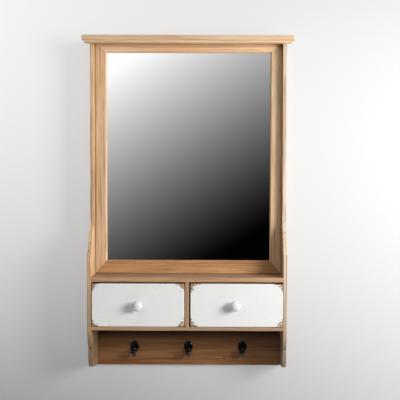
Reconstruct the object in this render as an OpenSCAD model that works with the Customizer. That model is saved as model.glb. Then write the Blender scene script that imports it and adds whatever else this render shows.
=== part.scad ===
// Wall mirror in brushed fir with a crown, a shelf, two small drawers and a rail of coat hooks.
// Millimetres. X runs to the right, the front faces -Y, Z is up and the wall is the plane Y = 0.
// The origin lies on the wall, midway between the two keyholes that the case hangs from.

/* [Case] */
// Width across the outer faces of the side panels
case_w = 469; // [400:1:560]
// Thickness of a side panel
panel_t = 8.5; // [8:0.5:12]
// Depth of the side panels beside the mirror
upper_d = 63; // [58:1:80]
// Depth of the side panels beside the drawers
lower_d = 108; // [98:1:140]
// Depth of the side panels' feet
foot_d = 97; // [90:1:104]
// Height of the open bay that holds the coat hooks
hook_bay_h = 107; // [96:1:140]
// Thickness of the board under the drawers
bottom_t = 8.5; // [8:0.5:14]
// Height of the opening that the drawers fill
drawer_bay_h = 106; // [90:1:130]
// Thickness of the shelf over the drawers
shelf_t = 11.5; // [9:0.5:18]
// Thickness of the upright between the drawers
divider_t = 9.5; // [8:0.5:16]
// Height from the shelf to the underside of the crown
mirror_bay_h = 557.5; // [480:0.5:640]
// How far the shelf, boards and drawer fronts sit back from the panels' front edges
reveal = 0.5; // [0:0.1:2]
// Thickness of the plywood behind the drawers
back_t = 3; // [2.5:0.5:5]

/* [Side panel outline] */
// Height of the small ledge over the shelf
ledge_over_shelf = 53.5; // [30:0.5:70]
// Depth of that ledge
ledge_d = 4; // [2:0.5:8]
// Height of the S-shaped sweep over the ledge
sweep_h = 82; // [70:1:110]
// Lean of the sweep where it meets the ledge, in degrees from the vertical
sweep_lean = 19; // [0:1:30]
// Height of the notch over the foot
foot_h = 58.5; // [50:0.5:66]
// Height of the hollow curve over the notch
cove_h = 45; // [20:0.5:60]
// How far that curve cuts in behind the foot's front edge
notch_in = 5; // [4:0.5:8]
// Radius of the foot's rounded shoulder in the notch
shoulder_r = 4; // [2:0.5:4]
// Radius of the foot's nose
nose_r = 30; // [16:0.5:34]
// Height of the foot's underside just behind its nose
nose_lift = 11; // [6:0.5:16]

/* [Crown] */
// Thickness of the top board and of the crown strip in front of it
crown_t = 12.5; // [10:0.5:20]
// Overhang of the crown strip at the front and the ends
crown_over = 16.5; // [15:0.5:25]
// Height of the moulding under the crown strip
mould_h = 5.5; // [4:0.5:12]
// Width of that moulding
mould_w = 13.5; // [8:0.5:14.5]
// Height of the upright face along that moulding's outer edge
mould_face = 2; // [1:0.5:3]
// Width of the flat at the moulding's foot
mould_fillet = 3.5; // [1:0.5:5]

/* [Mirror frame] */
// Distance of the frame's face from the wall
frame_d = 48; // [44:0.5:55]
// Thickness of the frame
frame_t = 20; // [17:0.5:22]
// Width of the top rail
top_rail_w = 24; // [20:0.5:34]
// Width of the stiles
stile_w = 29; // [22:0.5:40]
// Width of the bottom rail
bottom_rail_w = 33; // [22:0.5:44]
// Width of the bevel round the glass
bevel_w = 2.5; // [1.5:0.5:4]
// Thickness of the lip in front of the glass
lip_t = 6; // [4:0.5:8]
// Radius of the frame's rounded outer edge
frame_round = 3.5; // [2:0.5:7]
// Width of the rebate that holds the glass
rebate_w = 8; // [6:0.5:10]
// Thickness of the mirror glass
glass_t = 3; // [2:0.5:4]
// Thickness of the hardboard behind the glass
backing_t = 3; // [2:0.5:4]
// Play round the glass in its rebate
glass_play = 1; // [0.5:0.25:2]
// Length of a glazing point
point_l = 14; // [11:0.5:20]
// Width of a glazing point
point_w = 8; // [5:0.5:12]
// Thickness of a glazing point
point_t = 0.8; // [0.5:0.1:1.2]

/* [Hanging] */
// Height of the hanging rail
hang_rail_h = 54; // [50:1:80]
// Thickness of the hanging rail
hang_rail_t = 18; // [15:0.5:24]
// Distance of each keyhole's middle from the side panel beside it
keyhole_inset = 36; // [30:1:75]
// Width of a keyhole plate
plate_w = 17; // [15:0.5:24]
// Height of a keyhole plate
plate_h = 45; // [43:1:48]
// Thickness of a keyhole plate
plate_t = 1.5; // [1:0.25:2]
// Distance of a plate's screws from its ends
plate_screw_end = 5.5; // [4:0.5:6]
// Radius of a keyhole's round entry
entry_r = 4.5; // [4:0.25:5.5]
// Radius of a keyhole's slot
slot_r = 2.25; // [2:0.25:2.75]
// Height of the slot's end over the entry
slot_rise = 9; // [7:0.5:10]
// Depth of the pocket behind a keyhole plate
pocket_d = 12; // [8:0.5:12]
// Room in that pocket round a wall screw's head
pocket_over = 1.5; // [0.5:0.25:2]

/* [Drawers] */
// Thickness of a drawer front
front_t = 12; // [10:0.5:16]
// Thickness of a drawer side
side_t = 8; // [6:0.5:10]
// Height of a drawer side
side_h = 84; // [60:1:86]
// Thickness of a drawer back
rear_t = 8; // [6:0.5:10]
// Thickness of a drawer floor
floor_t = 3; // [2.5:0.5:4]
// Height of the floor's groove over the bottom of the sides
groove_h = 6; // [4:0.5:10]
// Depth of the floor's groove
groove_d = 4; // [2:0.5:5]
// Gap on each side of a drawer
side_gap = 1.8; // [1.1:0.1:3]
// Gap over a drawer front
top_gap = 3.7; // [1:0.1:4]
// Gap under a drawer front
under_gap = 0.8; // [0.8:0.1:3]
// Running gap under the drawer sides
run_gap = 0.3; // [0.2:0.05:0.6]
// Gap between a closed drawer and the back it stops against
stop_gap = 0.4; // [0.3:0.1:2]
// How far the left drawer rests to the right of its bay's middle
left_drift = 0.1; // [-1.3:0.1:1.3]
// How far the right drawer rests to the right of its bay's middle
right_drift = 1.3; // [-1.3:0.1:1.3]

/* [Knobs] */
// Diameter of a knob's head
knob_d = 25; // [18:0.5:30]
// Distance that a knob stands out from the drawer front
knob_out = 23; // [20:0.5:30]
// Height of the domed head
knob_head_h = 13; // [10:0.5:15]
// Diameter of the knob's neck
knob_neck_d = 9; // [8:0.5:12]
// Diameter of the knob's foot
knob_foot_d = 13; // [12:0.5:18]
// Height of the knob's foot
knob_foot_h = 1.5; // [1:0.5:3]
// Height of the flare between the foot and the neck
knob_flare_h = 2.5; // [1:0.5:3]
// Rounding of the head's rim
knob_rim_r = 2.5; // [1:0.5:3]
// Depth of the screw hole in a knob
knob_bore = 13; // [8:0.5:16]
// Diameter of the screw that holds a knob
knob_screw_d = 4; // [3:0.5:5]
// Diameter of that screw's washer
washer_d = 10; // [8:0.5:12]
// Thickness of that washer
washer_t = 1; // [0.5:0.25:1.5]
// Diameter of the knob screw's head
pan_d = 7.6; // [7:0.1:9]
// Height of the knob screw's head
pan_h = 2.4; // [2:0.1:3.5]
// How far the left knob sits to the right of its drawer's middle
left_knob_drift = 0; // [-8:0.5:8]
// How far the right knob sits to the right of its drawer's middle
right_knob_drift = -4; // [-8:0.5:8]

/* [Coat hooks] */
// Thickness of the rail that carries the hooks
hook_rail_t = 10; // [9:0.5:16]
// Distance from one hook to the next
hook_pitch = 134; // [100:1:150]
// How far the row of hooks sits to the right of the case's middle
hook_drift = -1; // [-5:0.5:5]
// Height of a hook plate's middle over the rail's lower edge
hook_z = 45.5; // [42:0.5:60]
// Width of a hook plate
hook_plate_w = 21.5; // [18:0.5:28]
// Height of a hook plate
hook_plate_h = 29; // [26:0.5:40]
// Thickness of a hook plate
hook_plate_t = 2.5; // [2:0.25:4]
// Thickness of a hook plate's rim
hook_rim_t = 1.5; // [1:0.25:2]
// Width of that rim
hook_rim_w = 1.5; // [1:0.25:2]
// Distance of each hook screw from the plate's middle
hook_screw_off = 9.25; // [8.5:0.25:10]
// Diameter of a hook's prong
prong_d = 7; // [5:0.5:8]
// Size of the prong's turn in front of its plate, at its middle line
turn_r = 6; // [5:0.5:8]
// Length of the straight between the turn and the bend
prong_straight = 6.5; // [6:0.5:14]
// Radius of the prong's bend, at its middle line
prong_r = 7; // [6.5:0.5:12]
// Height of the ball's middle over the bend's centre
tip_rise = 3.5; // [0.5:0.5:8]
// Diameter of the ball at the prong's tip
tip_d = 12.5; // [8:0.5:13]

/* [Fasteners] */
// Diameter of the case screws
screw_d = 3.5; // [3:0.25:4]
// Diameter of a case screw's head
head_d = 7; // [6:0.25:8]
// Length of a case screw
screw_l = 26; // [22:1:30]
// Distance of a stile's end screws from the mirror's top and bottom
stile_screw_end = 40; // [30:5:80]
// Diameter of the small screws in the plates and hooks
small_screw_d = 2.4; // [2:0.1:2.8]
// Diameter of a back panel pin
pin_d = 1.6; // [1.2:0.1:2]
// Length of a back panel pin
pin_l = 14; // [10:1:20]
// Distance of the outermost pins from the panel's ends
pin_edge = 25; // [15:1:40]
// Diameter of a small screw's head
small_head_d = 4.6; // [4:0.1:5]
// Length of a small screw
small_screw_l = 10; // [8:0.5:11]

/* [Hidden] */
$fn = 48;
eps = 0.01;

// Clearance round every screw in its hole
screw_fit = 0.05;
// Clearance round the drawer floor in its groove
groove_fit = 0.1;
// Number of straight steps that draw each curve of the side panel
curve_steps = 16;
// Share of the sweep's height over which its hollow and its belly are drawn out
hollow_pull = 0.3;
belly_pull = 0.55;

fir = "#c79f72";
fir_dark = "#a9825a";
plywood = "#b9925f";
white_paint = "#e4e2dc";
iron = "#1c1b1b";
steel = "#9a9c9f";
brass_yellow = "#b49a5a";

// Heights above the lowest point of the side panels
bottom_z = hook_bay_h;
drawer_z = bottom_z + bottom_t;
shelf_z = drawer_z + drawer_bay_h;
shelf_top = shelf_z + shelf_t;
crown_z = shelf_top + mirror_bay_h;
keyhole_z = crown_z - hang_rail_h / 2 - slot_rise / 2;

inner_w = case_w - 2 * panel_t;
keyhole_pitch = inner_w - 2 * keyhole_inset;
sight_x = inner_w / 2 - stile_w;
sight_low = shelf_top + bottom_rail_w;
sight_high = crown_z - top_rail_w;
bay_w = (inner_w - divider_t) / 2;
board_d = lower_d - reveal;

drawer_w = bay_w - 2 * side_gap;
front_low = drawer_z + under_gap;
front_h = drawer_bay_h - top_gap - under_gap;
side_low = drawer_z + run_gap;
front_back = board_d - front_t;
drawer_rear = back_t + stop_gap;
box_l = front_back - drawer_rear;
floor_low = side_low + groove_h;
floor_w = drawer_w - 2 * side_t + 2 * groove_d;
knob_z = front_low + front_h / 2;
left_drawer_x = -(divider_t + bay_w) / 2 + left_drift;
right_drawer_x = (divider_t + bay_w) / 2 + right_drift;

ledge_z = shelf_top + ledge_over_shelf;
cove_d = lower_d - foot_d + notch_in;
cove_r = (cove_h * cove_h + cove_d * cove_d) / (2 * cove_d);
cove_a = asin(cove_h / cove_r);
under_a = atan(nose_lift / (foot_d - nose_r));

// Moves a piece from its height above the feet to its place under the keyholes
module hung() translate([0, 0, -keyhole_z]) children();

// Draws an outline of [distance in front of the wall, height] and gives it a width along X
module upright(x, w) translate([x, 0, 0]) rotate([90, 0, 90]) linear_extrude(w) mirror([1, 0]) children();

// A board between two corners, given as x, distance from the wall and height
module board(x0, x1, d0, d1, z0, z1) translate([x0, -d1, z0]) cube([x1 - x0, d1 - d0, z1 - z0]);

function arc(c, r, a0, a1) =
  [for (i = [0 : curve_steps]) let (a = a0 + (a1 - a0) * i / curve_steps) c + r * [cos(a), sin(a)]];
// A smooth bend from a to b that leaves a towards a_pull and reaches b from b_pull
function bend(a, a_pull, b_pull, b) =
  [for (i = [0 : curve_steps]) let (t = i / curve_steps, r = 1 - t)
    r * r * r * a + 3 * r * r * t * a_pull + 3 * r * t * t * b_pull + t * t * t * b];

// Outline of a side panel: straight beside the mirror, an S sweep and a ledge over the shelf,
// straight beside the drawers, a hollow curve and a notch, and a foot with a round shoulder and nose
module panel_outline() {
  sweep_top = [upper_d, ledge_z + sweep_h];
  sweep_end = [lower_d - ledge_d, ledge_z];
  cove_c = [lower_d - cove_r, foot_h + cove_h];
  nose_c = [foot_d - nose_r, nose_lift + nose_r];
  polygon(concat(
    [[0, crown_z], [upper_d, crown_z]],
    bend(sweep_top, sweep_top - [0, hollow_pull * sweep_h],
      sweep_end + belly_pull * sweep_h * [-sin(sweep_lean), cos(sweep_lean)], sweep_end),
    [[lower_d, ledge_z]],
    arc(cove_c, cove_r, 0, -cove_a),
    arc([foot_d - shoulder_r, foot_h - shoulder_r], shoulder_r, 90, 0),
    arc(nose_c, nose_r, 0, -90 + under_a),
    [[0, 0]]
  ));
}

// Places of the case screws on one side: distance from the wall, height
shelf_mid = shelf_z + shelf_t / 2;
bottom_mid = bottom_z + bottom_t / 2;
frame_mid = frame_d - frame_t / 2;
CASE_SCREWS = [
  [board_d / 4, shelf_mid], [board_d * 3 / 4, shelf_mid],
  [board_d / 4, bottom_mid], [board_d * 3 / 4, bottom_mid],
  [frame_mid, sight_low + stile_screw_end],
  [frame_mid, (sight_low + sight_high) / 2],
  [frame_mid, sight_high - stile_screw_end],
  [hang_rail_t / 2, crown_z - hang_rail_h / 2],
  [hook_rail_t / 2, hook_bay_h * 0.3], [hook_rail_t / 2, hook_bay_h * 0.75]
];
CROWN_SCREWS = [for (s = [-1, 1], d = [upper_d * 0.25, upper_d * 0.75]) [s * (case_w - panel_t) / 2, d]];

// A countersunk screw whose head lies flush at the origin and whose shank runs along +Z
module flush_screw(d, head, l, grow = 0) {
  head_h = (head - d) / 2;
  cylinder(h = l + grow, r = d / 2 + grow);
  cylinder(h = head_h, r1 = head / 2 + grow, r2 = d / 2 + grow);
}

module each_case_screw(grow = 0) {
  for (p = CASE_SCREWS, s = [-1, 1])
    translate([s * case_w / 2, -p[0], p[1]]) rotate([0, -s * 90, 0])
      flush_screw(screw_d, head_d, screw_l, grow);
}

module each_crown_screw(grow = 0) {
  for (p = CROWN_SCREWS)
    translate([p[0], -p[1], crown_z + crown_t]) rotate([180, 0, 0])
      flush_screw(screw_d, head_d, screw_l, grow);
}

module drilled() difference() {
  children();
  each_case_screw(screw_fit);
}
module pinned() difference() {
  children();
  each_pin(screw_fit);
}

module side_panel(x) color(fir) hung() difference() {
  upright(x, panel_t) panel_outline();
  each_case_screw(screw_fit);
  each_crown_screw(screw_fit);
}
module side_panel_left() side_panel(-case_w / 2);
module side_panel_right() side_panel(case_w / 2 - panel_t);

crown_x = case_w / 2 + crown_over;
crown_d = upper_d + crown_over;

// The board on top of the panels, and the crown strip glued along its front edge
module top_board() color(fir) hung() difference() {
  board(-case_w / 2, case_w / 2, 0, upper_d, crown_z, crown_z + crown_t);
  each_crown_screw(screw_fit);
}
module crown_board() color(fir) hung()
  board(-crown_x, crown_x, upper_d, crown_d, crown_z, crown_z + crown_t);

// Cross-section of the crown moulding, from the panel outwards: a narrow upright face, a quarter
// round under it and a small flat
module mould_section() polygon(concat(
  [[0, 0], [mould_w, 0]],
  [for (i = [0 : curve_steps]) let (a = 90 * i / curve_steps)
    [mould_fillet + (mould_w - mould_fillet) * cos(a), -mould_face - (mould_h - mould_face) * sin(a)]],
  [[0, -mould_h]]
));

mould_x = case_w / 2 + mould_w;
mould_d = upper_d + mould_w;

// Plan of the front moulding, mitred where it meets the short returns at its ends
module front_plan() polygon([
  [-mould_x, -mould_d], [mould_x, -mould_d], [case_w / 2, -upper_d], [-case_w / 2, -upper_d]
]);
module return_plan() polygon([
  [mould_x, -mould_d], [mould_x, -upper_d], [case_w / 2, -upper_d]
]);

module crown_moulding_front() color(fir) hung() intersection() {
  translate([0, 0, crown_z - mould_h]) linear_extrude(mould_h) front_plan();
  translate([-mould_x, -upper_d, crown_z]) rotate([90, 0, 90])
    linear_extrude(2 * mould_x) mirror([1, 0]) mould_section();
}
module crown_return() intersection() {
  translate([0, 0, crown_z - mould_h]) linear_extrude(mould_h) return_plan();
  translate([case_w / 2, 0, crown_z]) rotate([90, 0, 0]) linear_extrude(mould_d) mould_section();
}
module crown_moulding_right() color(fir) hung() crown_return();
module crown_moulding_left() color(fir) hung() mirror([1, 0, 0]) crown_return();

// Cross-section of a frame member of width w, with the glass side at 0 and the face up
module frame_section(w) difference() {
  translate([0, -frame_t]) square([w, frame_t]);
  polygon([[-eps, eps], [bevel_w, eps], [bevel_w, 0], [0, -lip_t], [-eps, -lip_t]]);
  translate([-eps, -frame_t - eps]) square([rebate_w + eps, frame_t - lip_t + eps]);
  translate([w - frame_round, -frame_round]) difference() {
    square(frame_round + eps);
    circle(frame_round);
  }
}

// Corner of the frame as seen from the front, where the glass side of a stile and a rail meet:
// the mitre leaves each edge at 45 degrees and crosses the flat from one to the other
function mitre(s, t, rail_w) = let (x = sight_x, z = t > 0 ? sight_high : sight_low) [
  [s * x, z],
  [s * (x + bevel_w), z + t * bevel_w],
  [s * (x + stile_w - frame_round), z + t * (rail_w - frame_round)],
  [s * (x + stile_w), z + t * rail_w]
];
function flipped(p) = [for (i = [len(p) - 1 : -1 : 0]) p[i]];

module facing() translate([0, -frame_d, 0]) rotate([90, 0, 0]) mirror([0, 0, 1])
  linear_extrude(frame_t) children();

module rail(t, rail_w) intersection() {
  facing() polygon(concat(mitre(-1, t, rail_w), flipped(mitre(1, t, rail_w))));
  translate([-inner_w / 2, -frame_d, t > 0 ? sight_high : sight_low]) rotate([90, 0, 90])
    rotate(t > 0 ? 90 : -90) mirror([0, t > 0 ? 0 : 1]) linear_extrude(inner_w) frame_section(rail_w);
}
module stile(s) intersection() {
  facing() polygon(concat(mitre(s, 1, top_rail_w), flipped(mitre(s, -1, bottom_rail_w))));
  translate([s * sight_x, -frame_d, shelf_top]) mirror([s > 0 ? 0 : 1, 0, 0]) mirror([0, 1, 0])
    linear_extrude(mirror_bay_h) frame_section(stile_w);
}
module frame_top_rail() color(fir) hung() rail(1, top_rail_w);
module frame_bottom_rail() color(fir_dark) hung() rail(-1, bottom_rail_w);
module frame_stile_left() color(fir) hung() drilled() stile(-1);
module frame_stile_right() color(fir) hung() drilled() stile(1);

pane_over = rebate_w - glass_play;
module pane(d0, t) board(-sight_x - pane_over, sight_x + pane_over, d0 - t, d0,
  sight_low - pane_over, sight_high + pane_over);
glass_d = frame_d - lip_t;
backing_d = glass_d - glass_t;
points_d = backing_d - backing_t;
module mirror_glass() color("#c9d2d6") hung() pane(glass_d, glass_t);
module mirror_backing() color("#7b5a3c") hung() pane(backing_d, backing_t);

// Flat steel points that hold the glass and its backing in the rebate
module glazing_point() translate([-point_l, -point_w / 2, 0]) cube([point_l, point_w, point_t]);
module glazing_points() color(steel) hung() {
  wall_x = sight_x + rebate_w;
  for (s = [-1, 1], f = [0.15, 0.5, 0.85])
    translate([s * wall_x, -points_d, sight_low + f * (sight_high - sight_low)])
      rotate([-90, 0, 0]) mirror([s > 0 ? 0 : 1, 0, 0]) glazing_point();
  for (s = [-1, 1], z = [sight_low - rebate_w, sight_high + rebate_w])
    translate([s * sight_x / 2, -points_d, z])
      rotate([-90, 0, 0]) rotate(z > sight_high ? -90 : 90) glazing_point();
}

// Keyhole seen from behind, with its entry at the origin and its slot upwards
module keyhole_shape(grow = 0) {
  circle(entry_r + grow);
  translate([-slot_r - grow, 0]) square([2 * (slot_r + grow), slot_rise]);
  translate([0, slot_rise]) circle(slot_r + grow);
}
plate_mid = slot_rise / 2;
plate_screw_z = plate_h / 2 - plate_screw_end;
module behind(t) rotate([90, 0, 0]) linear_extrude(t) children();
module plate_shape() {
  translate([-plate_w / 2, plate_mid - plate_h / 2 + plate_w / 2]) square([plate_w, plate_h - plate_w]);
  for (s = [-1, 1]) translate([0, plate_mid + s * (plate_h - plate_w) / 2]) circle(plate_w / 2);
}
module each_plate_screw(grow = 0) {
  for (s = [-1, 1]) translate([0, 0, plate_mid + s * plate_screw_z]) rotate([90, 0, 0])
    flush_screw(small_screw_d, small_head_d, small_screw_l, grow);
}
module keyhole_plate(x) translate([x, 0, keyhole_z]) difference() {
  behind(plate_t) plate_shape();
  translate([0, eps, 0]) behind(plate_t + 2 * eps) keyhole_shape();
  each_plate_screw(screw_fit);
}
module keyhole_plate_left() color(steel) hung() keyhole_plate(-keyhole_pitch / 2);
module keyhole_plate_right() color(steel) hung() keyhole_plate(keyhole_pitch / 2);
module keyhole_screws() color(steel) hung() {
  for (s = [-1, 1]) translate([s * keyhole_pitch / 2, 0, keyhole_z]) each_plate_screw();
}

module hanging_rail() color(fir_dark) hung() drilled() difference() {
  board(-inner_w / 2, inner_w / 2, 0, hang_rail_t, crown_z - hang_rail_h, crown_z);
  for (s = [-1, 1]) translate([s * keyhole_pitch / 2, eps, keyhole_z]) {
    behind(plate_t + eps) plate_shape();
    behind(pocket_d) {
      circle(entry_r + pocket_over);
      translate([0, slot_rise]) circle(entry_r + pocket_over);
      translate([-entry_r - pocket_over, 0]) square([2 * (entry_r + pocket_over), slot_rise]);
    }
    each_plate_screw(screw_fit);
  }
}

module shelf() color(fir) hung() drilled() pinned()
  board(-inner_w / 2, inner_w / 2, back_t, board_d, shelf_z, shelf_top);
module bottom_board() color(fir) hung() drilled() pinned()
  board(-inner_w / 2, inner_w / 2, back_t, board_d, bottom_z, drawer_z);
module drawer_divider() color(fir) hung()
  board(-divider_t / 2, divider_t / 2, back_t, board_d, drawer_z, shelf_z);

// Thin plywood pinned to the back edges of the shelf, the divider and the bottom board
module each_pin(grow = 0) {
  for (z = [bottom_mid, shelf_mid], i = [-2 : 2])
    translate([i * (inner_w / 2 - pin_edge) / 2, 0, z]) rotate([90, 0, 0])
      cylinder(h = pin_l + grow, r = pin_d / 2 + grow, $fn = 16);
}
module back_panel() color(plywood) hung() difference() {
  board(-inner_w / 2, inner_w / 2, 0, back_t, bottom_z, shelf_top);
  translate([0, eps, 0]) each_pin(screw_fit);
}
module back_panel_pins() color(steel) hung() each_pin();

module hook_rail() color(fir_dark) hung() drilled() difference() {
  board(-inner_w / 2, inner_w / 2, 0, hook_rail_t, 0, bottom_z);
  each_hook_screw(screw_fit);
}

// A cast hook: an oval plate on the rail and a round prong that bends down, out and up to a ball
function oval(w, h) = [for (i = [0 : 39]) [w / 2 * cos(9 * i), h / 2 * sin(9 * i)]];
module hook_plate() rotate([90, 0, 0]) {
  linear_extrude(hook_rim_t) polygon(oval(hook_plate_w, hook_plate_h));
  linear_extrude(hook_plate_t) polygon(oval(hook_plate_w - 2 * hook_rim_w, hook_plate_h - 2 * hook_rim_w));
}
knuckle_swell = 0.15;
// The prong leaves the plate's middle, turns down through two slightly swollen 45 degree corners
// and bends up again to a ball
module hook_prong() {
  prong = prong_d / 2;
  corner = turn_r * tan(22.5);
  knuckle = prong + knuckle_swell;
  rotate([90, 0, 0]) cylinder(h = hook_plate_t + corner, r = prong);
  translate([0, -hook_plate_t - corner, 0]) {
    sphere(knuckle);
    rotate([135, 0, 0]) cylinder(h = 2 * corner, r = prong);
  }
  translate([0, -hook_plate_t - turn_r, -turn_r]) {
    translate([0, 0, corner]) sphere(knuckle);
    translate([0, 0, -prong_straight]) {
      cylinder(h = prong_straight + corner, r = prong);
      translate([0, -prong_r, 0]) rotate([0, -90, 0]) rotate([0, 0, 90])
        rotate_extrude(angle = 180) translate([prong_r, 0]) circle(prong);
      translate([0, -2 * prong_r, 0]) {
        cylinder(h = tip_rise, r = prong);
        translate([0, 0, tip_rise]) sphere(tip_d / 2);
      }
    }
  }
}
module each_hook_screw(grow = 0) {
  for (i = [-1 : 1], s = [-1, 1])
    translate([hook_drift + i * hook_pitch, -hook_rail_t - hook_plate_t, hook_z + s * hook_screw_off])
      rotate([-90, 0, 0]) flush_screw(small_screw_d, small_head_d, small_screw_l, grow);
}
module coat_hook(i) color(iron) hung() difference() {
  translate([hook_drift + i * hook_pitch, -hook_rail_t, hook_z]) {
    hook_plate();
    hook_prong();
  }
  each_hook_screw(screw_fit);
}
module coat_hook_left() coat_hook(-1);
module coat_hook_middle() coat_hook(0);
module coat_hook_right() coat_hook(1);
module hook_screws() color(iron) hung() each_hook_screw();

module case_screws() color(steel) hung() each_case_screw();
module crown_screws() color(steel) hung() each_crown_screw();

// Drawer boards, drawn about the middle of their drawer
module groove() board(-floor_w / 2 - groove_fit, floor_w / 2 + groove_fit, drawer_rear - eps,
  front_back + groove_d + groove_fit, floor_low - groove_fit, floor_low + floor_t + groove_fit);
module drawer_front(x, knob_x) color(white_paint) hung() difference() {
  translate([x, 0, 0])
    board(-drawer_w / 2, drawer_w / 2, front_back, board_d, front_low, front_low + front_h);
  translate([x, 0, 0]) groove();
  translate([knob_x, -front_back + eps, knob_z]) rotate([90, 0, 0])
    cylinder(h = front_t + 2 * eps, r = knob_screw_d / 2 + screw_fit);
}
module drawer_side(x, s) color(fir) hung() translate([x, 0, 0]) difference() {
  board(s > 0 ? drawer_w / 2 - side_t : -drawer_w / 2, s > 0 ? drawer_w / 2 : -drawer_w / 2 + side_t,
    drawer_rear, front_back, side_low, side_low + side_h);
  groove();
}
module drawer_back(x) color(fir) hung() translate([x, 0, 0])
  board(-drawer_w / 2 + side_t, drawer_w / 2 - side_t, drawer_rear, drawer_rear + rear_t,
    floor_low + floor_t + groove_fit, side_low + side_h);
module drawer_floor(x) color(plywood) hung() translate([x, 0, 0])
  board(-floor_w / 2, floor_w / 2, drawer_rear, front_back + groove_d, floor_low, floor_low + floor_t);

// Turned knob with its foot on the drawer front and its domed head outwards
knob_neck_z = knob_out - knob_head_h;
tip_play = 1;
module knob(x) color(white_paint) hung() translate([x, -board_d, knob_z]) rotate([90, 0, 0]) difference() {
  rotate_extrude() polygon(concat(
    [[0, 0], [knob_foot_d / 2, 0], [knob_foot_d / 2, knob_foot_h]],
    [[knob_neck_d / 2, knob_foot_h + knob_flare_h], [knob_neck_d / 2, knob_neck_z]],
    [for (i = [0 : 5]) let (a = -90 + 18 * i)
      [knob_d / 2 - knob_rim_r + knob_rim_r * cos(a), knob_neck_z + knob_rim_r + knob_rim_r * sin(a)]],
    [for (i = [1 : 12]) let (a = 7.5 * i)
      [knob_d / 2 * cos(a), knob_neck_z + knob_rim_r + (knob_head_h - knob_rim_r) * sin(a)]]
  ));
  translate([0, 0, -eps]) cylinder(h = knob_bore, r = knob_screw_d / 2 + screw_fit);
}
module knob_screw(x) color(brass_yellow) hung() translate([x, -front_back, knob_z]) rotate([90, 0, 0]) {
  translate([0, 0, -washer_t - pan_h]) cylinder(h = pan_h, r = pan_d / 2);
  translate([0, 0, -washer_t]) cylinder(h = washer_t, r = washer_d / 2);
  translate([0, 0, -washer_t]) cylinder(h = washer_t + front_t + knob_bore - tip_play, r = knob_screw_d / 2);
}

left_knob_x = left_drawer_x + left_knob_drift;
right_knob_x = right_drawer_x + right_knob_drift;
module left_drawer_front() drawer_front(left_drawer_x, left_knob_x);
module left_drawer_side_left() drawer_side(left_drawer_x, -1);
module left_drawer_side_right() drawer_side(left_drawer_x, 1);
module left_drawer_back() drawer_back(left_drawer_x);
module left_drawer_floor() drawer_floor(left_drawer_x);
module left_drawer_knob() knob(left_knob_x);
module left_knob_screw() knob_screw(left_knob_x);
module right_drawer_front() drawer_front(right_drawer_x, right_knob_x);
module right_drawer_side_left() drawer_side(right_drawer_x, -1);
module right_drawer_side_right() drawer_side(right_drawer_x, 1);
module right_drawer_back() drawer_back(right_drawer_x);
module right_drawer_floor() drawer_floor(right_drawer_x);
module right_drawer_knob() knob(right_knob_x);
module right_knob_screw() knob_screw(right_knob_x);

side_panel_left();
side_panel_right();
top_board();
crown_board();
crown_moulding_front();
crown_moulding_left();
crown_moulding_right();
frame_top_rail();
frame_bottom_rail();
frame_stile_left();
frame_stile_right();
mirror_glass();
mirror_backing();
glazing_points();
hanging_rail();
keyhole_plate_left();
keyhole_plate_right();
keyhole_screws();
shelf();
drawer_divider();
bottom_board();
back_panel();
back_panel_pins();
hook_rail();
coat_hook_left();
coat_hook_middle();
coat_hook_right();
hook_screws();
case_screws();
crown_screws();
left_drawer_front();
left_drawer_side_left();
left_drawer_side_right();
left_drawer_back();
left_drawer_floor();
left_drawer_knob();
left_knob_screw();
right_drawer_front();
right_drawer_side_left();
right_drawer_side_right();
right_drawer_back();
right_drawer_floor();
right_drawer_knob();
right_knob_screw();
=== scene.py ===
import bmesh
import bpy
import math
from mathutils import Matrix, Vector, noise


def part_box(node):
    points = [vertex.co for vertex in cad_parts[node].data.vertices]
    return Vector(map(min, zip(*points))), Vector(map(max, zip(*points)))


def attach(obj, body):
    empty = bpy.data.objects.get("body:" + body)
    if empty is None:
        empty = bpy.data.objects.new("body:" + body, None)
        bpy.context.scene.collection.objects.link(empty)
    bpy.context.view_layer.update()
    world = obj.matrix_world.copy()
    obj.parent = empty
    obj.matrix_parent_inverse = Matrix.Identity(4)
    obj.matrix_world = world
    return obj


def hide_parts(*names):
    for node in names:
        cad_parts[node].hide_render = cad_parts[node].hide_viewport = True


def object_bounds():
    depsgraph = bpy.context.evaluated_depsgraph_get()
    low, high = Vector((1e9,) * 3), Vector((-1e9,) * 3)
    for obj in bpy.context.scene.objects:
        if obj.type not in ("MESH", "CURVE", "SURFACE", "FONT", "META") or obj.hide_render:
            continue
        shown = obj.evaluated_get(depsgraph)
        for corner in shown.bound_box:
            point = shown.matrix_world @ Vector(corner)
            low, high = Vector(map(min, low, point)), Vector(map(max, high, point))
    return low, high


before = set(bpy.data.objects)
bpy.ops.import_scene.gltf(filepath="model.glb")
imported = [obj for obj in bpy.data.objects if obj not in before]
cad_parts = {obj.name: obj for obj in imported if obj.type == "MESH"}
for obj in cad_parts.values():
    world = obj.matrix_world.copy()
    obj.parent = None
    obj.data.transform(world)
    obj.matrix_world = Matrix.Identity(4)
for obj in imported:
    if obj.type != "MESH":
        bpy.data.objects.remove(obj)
cad_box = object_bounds()

# The view. The case hangs on a wall and is seen from the front, a hand's width to the right of its middle,
# a little below the middle of the mirror. The picture is a cut-out whose middle lies left of the lens axis.
eye = Vector((0.085, -1.745, -0.287))
eye_pitch = math.radians(-2.0)
eye_yaw = math.radians(0.15)
eye_roll = math.radians(0.17)
photo_width = 400
focal_pixels = 702

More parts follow.
